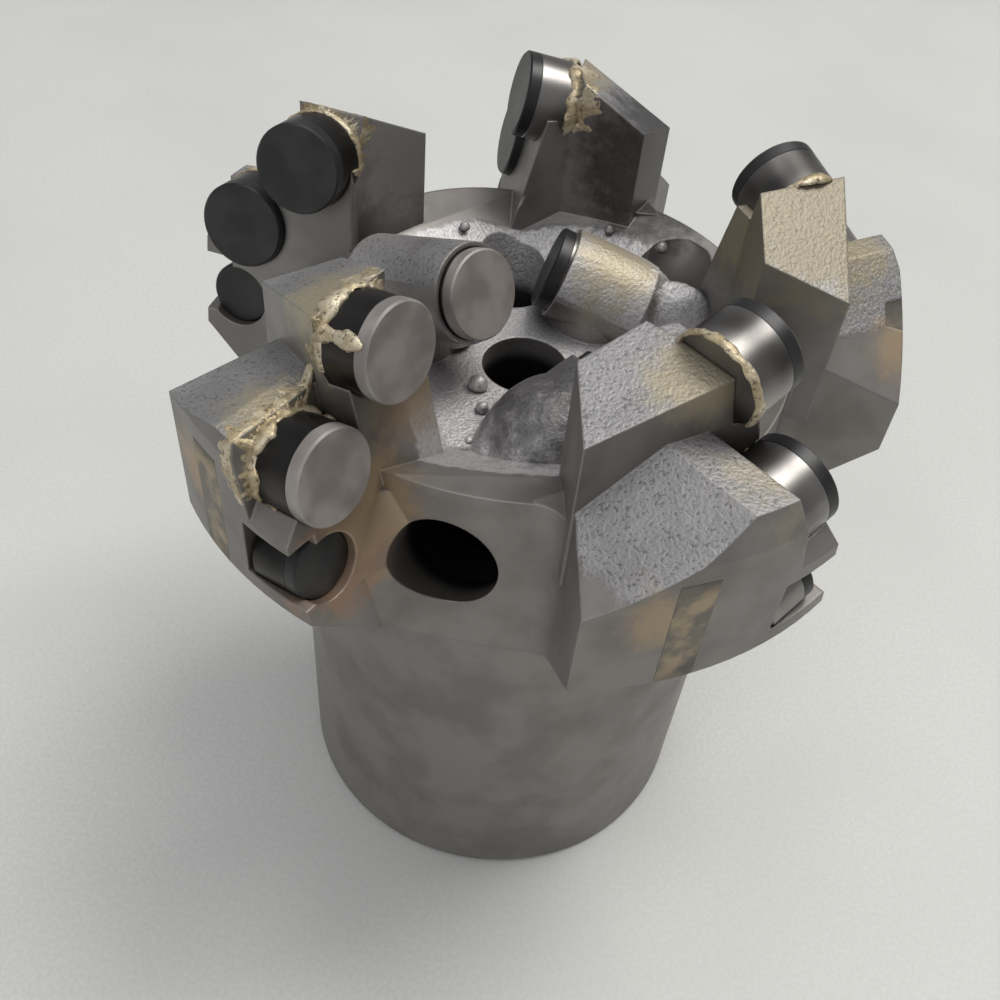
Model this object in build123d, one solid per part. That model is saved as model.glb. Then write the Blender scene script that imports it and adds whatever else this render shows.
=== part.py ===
from build123d import *
import os
from dataclasses import dataclass
from math import atan2, cos, hypot, pi, radians, sin, sqrt, tan

# Steel-bodied drag bit with brazed diamond cutters, in millimetres.
# The bit stands on the open end of its shank: +Z points towards the cutting face
# and the origin is the centre of the shank's end face. Seen from the face, the
# bit cuts turning counter-clockwise.

# ---- shank and head ----
SHANK_D = 76.0
GAUGE_D = 113.0
SHANK_LENGTH = 72.2
FLARE_HEIGHT = 17.1
GAUGE_HEIGHT = 22.7
SHOULDER_HEIGHT = 6.5
SHOULDER_INSET = 2.5
CROWN_INSET = 8.5
BLADE_HEIGHT = 42.7
SLOT_STEP = 0.6
HUB_HEIGHT = 15.7
LEDGE_DROP = 1.6
LEDGE_WIDTH = 6.6
FLOOR_DROP = 10.0
FLOOR_INSET = 20.6
SHANK_END_CHAMFER = 1.0

SHANK_R = SHANK_D / 2
SLOT_R = SHANK_R + SLOT_STEP
GAUGE_R = GAUGE_D / 2
WING_BOTTOM_Z = SHANK_LENGTH + FLARE_HEIGHT
GAUGE_TOP_Z = WING_BOTTOM_Z + GAUGE_HEIGHT
HEAD_TOP_Z = WING_BOTTOM_Z + BLADE_HEIGHT
HUB_RIM_Z = WING_BOTTOM_Z + HUB_HEIGHT
LEDGE_Z = HUB_RIM_Z - LEDGE_DROP
FLOOR_Z = HUB_RIM_Z - FLOOR_DROP

# ---- box thread and water passage ----
THREAD_MINOR_D = 52.0
THREAD_LENGTH = 48.0
COUNTERBORE_D = 58.0
COUNTERBORE_DEPTH = 8.0
CHAMBER_D = 44.0
CHAMBER_ROOF = 14.0

# ---- water holes: azimuth and radius of each mouth ----
CENTRE_HOLE_D = 13.6
CENTRE_HOLE_OFFSET = (-1.6, 1.0)
CENTRE_HOLE_RUN = 28.0
FACE_HOLE_D = 12.0
FACE_HOLES = ((103.0, 25.0), (44.5, 30.0), (-26.0, 29.0))
FACE_HOLE_ROOT_R = 15.0
FACE_HOLE_RUN = 38.0
SIDE_HOLE_D = 15.2
SIDE_HOLE_Z = WING_BOTTOM_Z + 0.7
SIDE_HOLE_RISE = 24.0
SIDE_HOLE_INSIDE = 26.0
SIDE_HOLE_RUN = 38.0
SIDE_HOLES = (-104.8, -178.0)

# ---- cutters ----
CUTTER_D = 13.44
GAUGE_CUTTER_D = 10.0
CUTTER_LENGTH = 8.0
BRAZE_GAP = 0.1
BACK_RAKE = 13.0
FACE_LEAD = 1.2
GAUGE_CUTTER_RISE = 5.5
GAUGE_CUTTER_INSET = 0.6
POCKET_RUNOUT = 9.0

CUTTER_R = CUTTER_D / 2
GAUGE_CUTTER_R = GAUGE_CUTTER_D / 2
GAUGE_CUTTER_PLACE = (
    GAUGE_R - GAUGE_CUTTER_INSET - GAUGE_CUTTER_R,
    WING_BOTTOM_Z + GAUGE_CUTTER_RISE,
)

# ---- blade plan: x outwards along the blade, y forwards ----
WALL_SETBACK = 4.4
SEAT_INSET = 8.5
SEAT_REACH = 6.0
SEAT_TOP_DROP = 1.2
SEAT_SHOULDER_X = 4.0
NOSE_LAND_Y = -14.0
SHOULDER_LAND_Y = -20.0
LEAD_FILLET_R = 12.0
LEAD_FILLET_END_R = 1.5
LEAD_FILLET_TOP_Z = WING_BOTTOM_Z + 10.5
TRAIL_FILLET_R = 5.0

# ---- relief in front of the gauge pads, between two teeth ----
RELIEF_FRONT_Y = -7.5
RELIEF_DEPTH = 4.6
RELIEF_BOTTOM_RISE = 2.4
RELIEF_TOP_RISE = 12.2

# ---- gauge strips ----
STRIP_WIDTH = 5.4
STRIP_DEPTH = 3.0
STRIP_HEAD_DROP = 3.0
STRIP_FIT = 0.05

# ---- inner cutters, each on its own post ----
POST_R = 7.6
POST_FRONT_GAP = 2.5
POST_ROOT = 3.0


@dataclass(frozen=True)
class InnerCutter:
    """Place of an inner cutter on the dish, the way it faces, and its post."""

    name: str
    centre: tuple
    rise: float
    facing: float
    rake: float
    post_length: float
    foot_r: float
    foot_setback: float
    foot_rise: float


INNER_CUTTERS = (
    InnerCutter(
        name="a",
        centre=(10.9, -10.6),
        rise=6.5,
        facing=34.0,
        rake=25.0,
        post_length=7.5,
        foot_r=8.8,
        foot_setback=9.5,
        foot_rise=2.5,
    ),
    InnerCutter(
        name="b",
        centre=(1.7, 16.1),
        rise=8.5,
        facing=174.0,
        rake=18.0,
        post_length=14.0,
        foot_r=7.4,
        foot_setback=9.0,
        foot_rise=0.0,
    ),
    InnerCutter(
        name="d",
        centre=(-9.6, -2.8),
        rise=16.0,
        facing=-37.0,
        rake=23.0,
        post_length=21.0,
        foot_r=7.0,
        foot_setback=15.0,
        foot_rise=0.0,
    ),
)


def place(inset, rise):
    """Place of a cutter's face: inwards from the gauge and up from the wing bottom."""
    return (GAUGE_R - inset, WING_BOTTOM_Z + rise)


def plan(inset, forward):
    """Plan point of a blade, measured inwards from the gauge."""
    return (GAUGE_R - inset, forward)


def land(rise, fall):
    """Height of a land and its fall per millimetre towards the trailing side."""
    return (WING_BOTTOM_Z + rise, fall)


@dataclass(frozen=True)
class Blade:
    """Sizes that set one blade apart from the others.

    The lower land also has a level crest in front, given over the wing bottom.
    """

    name: str
    azimuth: float
    nose: tuple
    shoulder: tuple
    nose_land: tuple
    shoulder_land: tuple
    crest: float
    inner_front: tuple
    trail_inner: tuple
    trail_outer: tuple
    outer: tuple
    sweep: float
    strip_angle: float


BLADES = (
    Blade(
        name="a",
        azimuth=-45.0,
        nose=place(19.3, 35.1),
        shoulder=place(8.6, 20.5),
        nose_land=land(34.0, 0.23),
        shoulder_land=land(24.1, 0.67),
        crest=27.5,
        inner_front=plan(30.8, -7.8),
        trail_inner=plan(32.1, -18.2),
        trail_outer=plan(21.6, -26.7),
        outer=plan(16.2, -6.0),
        sweep=37.0,
        strip_angle=-22.5,
    ),
    Blade(
        name="b",
        azimuth=28.5,
        nose=place(18.5, 32.9),
        shoulder=place(8.3, 19.5),
        nose_land=land(34.1, 0.49),
        shoulder_land=land(18.3, 0.85),
        crest=24.9,
        inner_front=plan(27.1, -6.6),
        trail_inner=plan(31.9, -17.6),
        trail_outer=plan(21.6, -25.5),
        outer=plan(12.9, -8.0),
        sweep=32.3,
        strip_angle=-20.0,
    ),
    Blade(
        name="c",
        azimuth=98.9,
        nose=place(17.1, 32.0),
        shoulder=place(7.9, 19.3),
        nose_land=land(34.0, 0.58),
        shoulder_land=land(18.3, 0.80),
        crest=24.3,
        inner_front=plan(23.5, -7.0),
        trail_inner=plan(29.1, -18.1),
        trail_outer=plan(19.5, -24.8),
        outer=plan(13.3, -10.0),
        sweep=32.0,
        strip_angle=-20.0,
    ),
    Blade(
        name="d",
        azimuth=165.2,
        nose=place(17.3, 31.5),
        shoulder=place(6.9, 18.9),
        nose_land=land(33.5, 0.62),
        shoulder_land=land(16.3, 0.60),
        crest=21.3,
        inner_front=plan(23.1, -7.0),
        trail_inner=plan(29.9, -18.6),
        trail_outer=plan(22.5, -25.0),
        outer=plan(13.1, -9.0),
        sweep=30.0,
        strip_angle=-18.0,
    ),
    Blade(
        name="e",
        azimuth=-121.7,
        nose=place(21.9, 31.4),
        shoulder=place(9.0, 19.3),
        nose_land=land(33.0, 0.40),
        shoulder_land=land(22.5, 0.30),
        crest=24.9,
        inner_front=plan(29.5, -8.0),
        trail_inner=plan(31.8, -17.6),
        trail_outer=plan(23.5, -24.5),
        outer=plan(16.0, -8.0),
        sweep=25.5,
        strip_angle=-15.0,
    ),
)

def polar(radius, angle):
    """Plan point at a radius and an angle in degrees."""
    return (radius * cos(radians(angle)), radius * sin(radians(angle)))


def revolved(points):
    """Turn an (r, z) outline about the bit's axis."""
    outline = make_face(Polyline([(r, 0, z) for r, z in points], close=True))
    return revolve(outline, axis=Axis.Z)


def prism(points, bottom, top):
    """Upright prism on a plan outline."""
    face = make_face(Polyline([(x, y, bottom) for x, y in points], close=True))
    return extrude(face, top - bottom, dir=(0, 0, 1))


def cylinder_along(origin, direction, radius, length):
    """Solid cylinder that starts at a point and runs along a direction."""
    plane = Plane(origin=origin, z_dir=direction)
    return extrude(plane * Circle(radius), length)


def half_space(origin, normal, reach=160.0):
    """Large block that ends in a plane and lies behind its normal."""
    plane = Plane(origin=origin, x_dir=(1, 0, 0), z_dir=normal)
    return extrude(plane * Rectangle(reach, reach), -reach)


def below_land(y, z, fall):
    """Half space under a land that falls backwards by a slope from a height at y."""
    return half_space((0, y, z), (0, -fall, 1))


def trail_fillet(inner, outer):
    """Upright fillet between the hub and the trailing wall from inner to outer."""
    start = (inner[0], -inner[1])
    end = (outer[0], -outer[1])
    length = hypot(end[0] - start[0], end[1] - start[1])
    along = ((end[0] - start[0]) / length, (end[1] - start[1]) / length)
    left = (-along[1], along[0])
    offset = start[0] * left[0] + start[1] * left[1] + TRAIL_FILLET_R
    reach = sqrt((SLOT_R + TRAIL_FILLET_R) ** 2 - offset**2)
    centre = (along[0] * reach + left[0] * offset, along[1] * reach + left[1] * offset)
    on_wall = (centre[0] - left[0] * TRAIL_FILLET_R, centre[1] - left[1] * TRAIL_FILLET_R)
    hub_share = (SLOT_R - 1) / (SLOT_R + TRAIL_FILLET_R)
    on_hub = (centre[0] * hub_share, centre[1] * hub_share)
    below_wall = (on_wall[0] - left[0] - 8 * along[0], on_wall[1] - left[1] - 8 * along[1])
    corner = prism([on_wall, centre, on_hub, below_wall], SHANK_LENGTH, HUB_RIM_Z)
    bore_start = (*centre, SHANK_LENGTH - 1)
    bore_length = HUB_RIM_Z - SHANK_LENGTH + 2
    corner -= cylinder_along(bore_start, (0, 0, 1), TRAIL_FILLET_R, bore_length)
    return mirror(corner, about=Plane.XZ)


def lead_centre(blade, height, radius):
    """Centre of the fillet between the hub and a raked leading wall at a height."""
    offset = wall_front(blade, height) + radius
    return Vector(sqrt((SLOT_R + radius) ** 2 - offset**2), offset, height)


def lead_section(blade, height, radius):
    """Plan section of the fillet between the hub and a blade's raked leading wall."""
    centre = lead_centre(blade, height, radius)
    wall_y = centre.Y - radius
    hub_share = SLOT_R / (SLOT_R + radius)
    middle_turn = (atan2(centre.Y, centre.X) - pi / 2) / 2
    on_wall = (centre.X, wall_y, height)
    on_hub = (centre.X * hub_share, centre.Y * hub_share, height)
    middle = (
        centre.X + radius * sin(middle_turn),
        centre.Y - radius * cos(middle_turn),
        height,
    )
    inside = (on_hub[0] - 4, wall_y - 3, height)
    arc = ThreePointArc(on_wall, middle, on_hub)
    return make_face(arc + Polyline([on_hub, inside, on_wall]))


def lead_fillet(blade):
    """Fillet in front of a blade: even up to the wing's bottom, then running out."""
    low = lead_centre(blade, SHANK_LENGTH, LEAD_FILLET_R)
    high = lead_centre(blade, WING_BOTTOM_Z, LEAD_FILLET_R)
    rise = high - low
    on_wall = low - Vector(0, LEAD_FILLET_R, 0)
    on_hub = low * ((SLOT_R - 1) / (SLOT_R + LEAD_FILLET_R))
    inside = Vector(on_hub.X - 4, on_wall.Y - 3, low.Z)
    outline = [(point.X, point.Y, low.Z) for point in (on_wall, low, on_hub, inside)]
    corner = extrude(make_face(Polyline(outline, close=True)), rise.length, dir=rise)
    corner -= cylinder_along(low - rise, rise, LEAD_FILLET_R, 3 * rise.length)
    sections = [
        lead_section(blade, WING_BOTTOM_Z, LEAD_FILLET_R),
        lead_section(blade, LEAD_FILLET_TOP_Z, LEAD_FILLET_END_R),
    ]
    return corner + loft(sections, ruled=True)


def head_envelope():
    """Turned outline that bounds the blades."""
    return revolved(
        [
            (0, SHANK_LENGTH),
            (SHANK_R, SHANK_LENGTH),
            (GAUGE_R, WING_BOTTOM_Z),
            (GAUGE_R, GAUGE_TOP_Z),
            (GAUGE_R - SHOULDER_INSET, GAUGE_TOP_Z + SHOULDER_HEIGHT),
            (GAUGE_R - CROWN_INSET, HEAD_TOP_Z),
            (0, HEAD_TOP_Z),
        ]
    )


def hub():
    """Shank and hub with the dished face."""
    turned = revolved(
        [
            (0, 0),
            (SHANK_R - SHANK_END_CHAMFER, 0),
            (SHANK_R, SHANK_END_CHAMFER),
            (SHANK_R, SHANK_LENGTH),
            (SLOT_R, SHANK_LENGTH + SLOT_STEP),
            (SLOT_R, HUB_RIM_Z),
            (0, HUB_RIM_Z),
        ]
    )
    ledge_r = SLOT_R - LEDGE_WIDTH
    rim = slot_flats(ledge_r, LEDGE_Z, SLOT_R, HUB_RIM_Z)
    dish = slot_flats(SLOT_R - FLOOR_INSET, FLOOR_Z, ledge_r, LEDGE_Z)
    return turned - rim - dish


def slot_flats(low_r, low_z, high_r, high_z):
    """Hollow with a level bottom and one flat slope towards each slot."""
    side = 2.6 * SLOT_R
    hollow = Pos(0, 0, low_z + side / 2) * Box(side, side, side)
    azimuths = sorted(blade.azimuth % 360 for blade in BLADES)
    following = azimuths[1:] + [azimuths[0] + 360]
    for first, second in zip(azimuths, following):
        middle = (first + second) / 2
        normal = (*polar(high_z - low_z, middle), low_r - high_r)
        hollow &= half_space((*polar(low_r, middle), low_z), normal)
    return hollow


def leading_wall(blade):
    """Half space behind a blade's raked leading wall."""
    centre, direction = cutter_axis(blade.nose, BACK_RAKE)
    return half_space(centre - direction * WALL_SETBACK, direction)


def wall_front(blade, height):
    """How far forward the raked leading wall stands at a height."""
    centre, direction = cutter_axis(blade.nose, BACK_RAKE)
    point = centre - direction * WALL_SETBACK
    return point.Y + (point.Z - height) * tan(radians(BACK_RAKE))


def behind_cutter(seat):
    """Half space behind the back of a cutter's pocket."""
    centre, direction = cutter_axis(seat, BACK_RAKE)
    return half_space(centre - direction * (CUTTER_LENGTH + BRAZE_GAP), direction)


def gauge_relief():
    """Space cut in front of a gauge pad, between its upper and lower tooth."""
    inner = GAUGE_R - RELIEF_DEPTH
    outer = GAUGE_R + 2
    front = RELIEF_FRONT_Y + 30
    return prism(
        [(inner, RELIEF_FRONT_Y), (outer, RELIEF_FRONT_Y), (outer, front), (inner, front)],
        WING_BOTTOM_Z + RELIEF_BOTTOM_RISE,
        WING_BOTTOM_Z + RELIEF_TOP_RISE,
    )


def lower_block(blade):
    """Wide lower part of a blade, out to the gauge, with its sloping land."""
    inner_x = blade.nose[0] - SEAT_INSET
    front = wall_front(blade, SHANK_LENGTH)
    gauge_trail = polar(GAUGE_R + 1, -blade.sweep)
    outline = [
        (inner_x, front),
        (GAUGE_R + 1, front),
        polar(GAUGE_R + 6, -blade.sweep / 2),
        gauge_trail,
        blade.trail_inner,
        blade.inner_front,
    ]
    block = prism(outline, SHANK_LENGTH, HEAD_TOP_Z) & leading_wall(blade)
    block += trail_fillet(blade.trail_inner, gauge_trail)
    height, fall = blade.shoulder_land
    block &= below_land(SHOULDER_LAND_Y, height, fall)
    block &= below_land(0, WING_BOTTOM_Z + blade.crest, 0)
    seat_z = blade.shoulder[1] - SEAT_TOP_DROP
    seat = half_space((0, 0, seat_z), (0, 0, 1))
    seat &= half_space((blade.shoulder[0] + SEAT_SHOULDER_X, 0, seat_z), (1, 0, 1))
    return block & (seat + behind_cutter(blade.shoulder))


def nose_block(blade):
    """Narrow upper part of a blade with the seat of its nose cutter."""
    inner_x = blade.nose[0] - SEAT_INSET
    upper = prism(
        [blade.inner_front, blade.trail_inner, blade.trail_outer, blade.outer],
        FLOOR_Z,
        HEAD_TOP_Z,
    )
    height, fall = blade.nose_land
    upper &= below_land(NOSE_LAND_Y, height, fall)
    upper &= behind_cutter(blade.nose)
    seat_x = blade.nose[0] + SEAT_REACH
    front = wall_front(blade, FLOOR_Z)
    outline = [(inner_x, front), (seat_x, front), blade.outer, blade.inner_front]
    return upper + prism(outline, FLOOR_Z, blade.nose[1] - SEAT_TOP_DROP)


def blade_shape(blade):
    """One whole blade in its own plan, without its cutter pockets."""
    upper = nose_block(blade) & leading_wall(blade)
    return lower_block(blade) + upper + lead_fillet(blade) - gauge_relief()


def cutter_axis(seat, rake):
    """Centre of a cutter's face and the direction that it looks."""
    centre = Vector(seat[0], FACE_LEAD, seat[1])
    return centre, Vector(0, cos(radians(rake)), sin(radians(rake)))


def cutter_pocket(seat, rake, cutter_r):
    """Round pocket that takes a cutter and runs out in front of it."""
    centre, direction = cutter_axis(seat, rake)
    back = centre - direction * (CUTTER_LENGTH + BRAZE_GAP)
    return cylinder_along(back, direction, cutter_r + BRAZE_GAP, CUTTER_LENGTH + POCKET_RUNOUT)


def cutter(seat, rake, cutter_r):
    """One cutter: a round carbide stud with its diamond table at the front."""
    centre, direction = cutter_axis(seat, rake)
    return cylinder_along(centre - direction * CUTTER_LENGTH, direction, cutter_r, CUTTER_LENGTH)


def placed(shape, azimuth):
    """Turn a shape from blade plan to its place on the bit."""
    return shape.rotate(Axis.Z, azimuth)


def post(inner):
    """Round post that carries an inner cutter, on an upright foot."""
    centre, direction = cutter_axis(inner_seat(inner), inner.rake)
    rear = centre - direction * (POST_FRONT_GAP + inner.post_length)
    neck = cylinder_along(rear, direction, POST_R, inner.post_length)
    footing = centre - direction * inner.foot_setback
    height = footing.Z - FLOOR_Z + POST_ROOT + inner.foot_rise
    base = (footing.X, footing.Y, FLOOR_Z - POST_ROOT)
    return neck + cylinder_along(base, (0, 0, 1), inner.foot_r, height)


def inner_seat(inner):
    """Seat of an inner cutter in a plan that has its face over the origin."""
    return (0, FLOOR_Z + inner.rise)


def placed_inner(shape, inner):
    """Move a shape from over the origin to an inner cutter's place."""
    x, y = inner.centre
    return Pos(x, y, 0) * shape.rotate(Axis.Z, inner.facing - 90)


def water_passage():
    """Threaded box, chamber and water holes as one cutting shape."""
    bore_r = THREAD_MINOR_D / 2
    chamber_r = CHAMBER_D / 2
    roof_z = FLOOR_Z - CHAMBER_ROOF
    passage = revolved(
        [
            (0, -1),
            (COUNTERBORE_D / 2, -1),
            (COUNTERBORE_D / 2, COUNTERBORE_DEPTH),
            (bore_r, COUNTERBORE_DEPTH),
            (bore_r, THREAD_LENGTH),
            (chamber_r, THREAD_LENGTH),
            (chamber_r, roof_z),
            (0, roof_z),
        ]
    )
    x, y = CENTRE_HOLE_OFFSET
    passage += cylinder_along((x, y, SHANK_LENGTH), (0, 0, 1), CENTRE_HOLE_D / 2, CENTRE_HOLE_RUN)
    for azimuth, radius in FACE_HOLES:
        mouth = Vector(*polar(radius, azimuth), LEDGE_Z)
        root = Vector(*polar(FACE_HOLE_ROOT_R, azimuth), SHANK_LENGTH)
        passage += cylinder_along(root, mouth - root, FACE_HOLE_D / 2, FACE_HOLE_RUN)
    for azimuth in SIDE_HOLES:
        rise = tan(radians(SIDE_HOLE_RISE))
        direction = Vector(*polar(1, azimuth), rise)
        mouth = Vector(*polar(SLOT_R, azimuth), SIDE_HOLE_Z)
        start = mouth - direction * SIDE_HOLE_INSIDE
        passage += cylinder_along(start, direction, SIDE_HOLE_D / 2, SIDE_HOLE_RUN)
    return passage


def strip_shape(angle, fit):
    """Gauge strip in blade plan, or its groove when given a fit."""
    half = STRIP_WIDTH / 2 + fit
    inner = GAUGE_R - STRIP_DEPTH - fit
    block = prism(
        [(inner, -half), (GAUGE_R + 4, -half), (GAUGE_R + 4, half), (inner, half)],
        SHANK_LENGTH,
        GAUGE_TOP_Z - STRIP_HEAD_DROP + fit,
    )
    return block.rotate(Axis.Z, angle)


def cutter_rows(blade):
    """Name, place and radius of each cutter on a blade."""
    return (
        ("nose", blade.nose, CUTTER_R),
        ("shoulder", blade.shoulder, CUTTER_R),
        ("gauge", GAUGE_CUTTER_PLACE, GAUGE_CUTTER_R),
    )


def build():
    """Model every piece and return them by node name."""
    envelope = head_envelope()
    body = hub()
    pieces = {}
    for blade in BLADES:
        body += placed(blade_shape(blade) & envelope, blade.azimuth)
    for inner in INNER_CUTTERS:
        body += placed_inner(post(inner), inner)
    for blade in BLADES:
        for row, seat, cutter_r in cutter_rows(blade):
            body -= placed(cutter_pocket(seat, BACK_RAKE, cutter_r), blade.azimuth)
            piece = cutter(seat, BACK_RAKE, cutter_r)
            pieces[f"cutter_{blade.name}_{row}"] = placed(piece, blade.azimuth)
        body -= placed(strip_shape(blade.strip_angle, STRIP_FIT), blade.azimuth)
        strip = strip_shape(blade.strip_angle, 0) & lower_block(blade) & envelope
        pieces[f"gauge_strip_{blade.name}"] = placed(strip, blade.azimuth)
    for inner in INNER_CUTTERS:
        seat = inner_seat(inner)
        body -= placed_inner(cutter_pocket(seat, inner.rake, CUTTER_R), inner)
        piece = cutter(seat, inner.rake, CUTTER_R)
        pieces[f"cutter_{inner.name}_inner"] = placed_inner(piece, inner)
    body -= water_passage()
    pieces["bit_body"] = body
    return pieces


def main():
    """Write one STEP file for each piece."""
    os.makedirs("parts", exist_ok=True)
    for name, shape in build().items():
        shape.label = name
        export_step(shape, f"parts/{name}.step")


main()
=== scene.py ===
"""Dressed model of a steel-bodied drag bit with brazed diamond cutters."""

import logging
import math
from dataclasses import dataclass, field
from enum import Enum
from typing import Dict, List, Optional, Sequence, Tuple, Union

import bmesh
import bpy
from mathutils import Matrix, Vector, noise
from mathutils.bvhtree import BVHTree


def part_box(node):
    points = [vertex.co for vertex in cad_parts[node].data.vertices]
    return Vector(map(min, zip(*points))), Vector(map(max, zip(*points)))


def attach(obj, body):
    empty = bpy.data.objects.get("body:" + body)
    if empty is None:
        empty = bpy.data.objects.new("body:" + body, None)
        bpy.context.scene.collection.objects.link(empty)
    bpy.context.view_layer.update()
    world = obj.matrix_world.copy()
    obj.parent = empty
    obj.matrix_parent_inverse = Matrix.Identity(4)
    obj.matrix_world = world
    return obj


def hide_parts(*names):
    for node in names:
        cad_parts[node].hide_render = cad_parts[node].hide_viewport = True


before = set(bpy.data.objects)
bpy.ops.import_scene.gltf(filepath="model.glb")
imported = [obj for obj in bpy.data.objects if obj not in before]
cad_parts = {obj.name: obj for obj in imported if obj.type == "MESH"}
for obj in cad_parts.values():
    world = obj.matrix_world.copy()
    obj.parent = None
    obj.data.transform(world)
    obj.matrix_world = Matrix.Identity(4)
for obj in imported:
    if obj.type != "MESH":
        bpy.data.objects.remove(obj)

LOG = logging.getLogger("drag_bit")
MM = 0.001
Colour = Tuple[float, float, float]
Number = Union[float, "Value"]


class Row(Enum):
    """Place of a cutter on its blade."""

    NOSE = "nose"
    SHOULDER = "shoulder"
    GAUGE = "gauge"
    INNER = "inner"


class Value:
    """A number socket that can be used in Python expressions."""

    def __init__(self, shader: "Shader", socket: bpy.types.NodeSocket) -> None:
        """Keep the socket and the shader that it belongs to.

        Args:
            shader: The shader that owns the node.
            socket: The output that carries the number.
        """
        self.shader = shader
        self.socket = socket

    def _math(self, operation: str, *values: Number) -> "Value":
        """Add a Math node.

        Args:
            operation: The Math node's operation.
            values: Its inputs in order.

        Returns:
            The node's result.
        """
        inputs = {index: value for index, value in enumerate(values)}
        node = self.shader.node("ShaderNodeMath", {"operation": operation}, inputs)
        return Value(self.shader, node.outputs[0])

    def __add__(self, other: Number) -> "Value":
        """Sum."""
        return self._math("ADD", self, other)

    def __radd__(self, other: Number) -> "Value":
        """Reflected sum."""
        return self._math("ADD", other, self)

    def __sub__(self, other: Number) -> "Value":
        """Difference."""
        return self._math("SUBTRACT", self, other)

    def __rsub__(self, other: Number) -> "Value":
        """Reflected difference."""
        return self._math("SUBTRACT", other, self)

    def __mul__(self, other: Number) -> "Value":
        """Product."""
        return self._math("MULTIPLY", self, other)

    def __rmul__(self, other: Number) -> "Value":
        """Reflected product."""
        return self._math("MULTIPLY", other, self)

    def __truediv__(self, other: Number) -> "Value":
        """Quotient."""
        return self._math("DIVIDE", self, other)

    def __pow__(self, other: Number) -> "Value":
        """Power."""
        return self._math("POWER", self, other)

    def most(self, other: Number) -> "Value":
        """The larger of two numbers."""
        return self._math("MAXIMUM", self, other)

    def ramp(self, low: float, high: float) -> "Value":
        """Smooth step from 0 at low to 1 at high.

        Args:
            low: Input that gives 0.
            high: Input that gives 1; it may be below low.

        Returns:
            The eased share.
        """
        node = self.shader.node(
            "ShaderNodeMapRange",
            {"interpolation_type": "SMOOTHSTEP"},
            {"Value": self, "From Min": low, "From Max": high},
        )
        return Value(self.shader, node.outputs["Result"])


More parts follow.
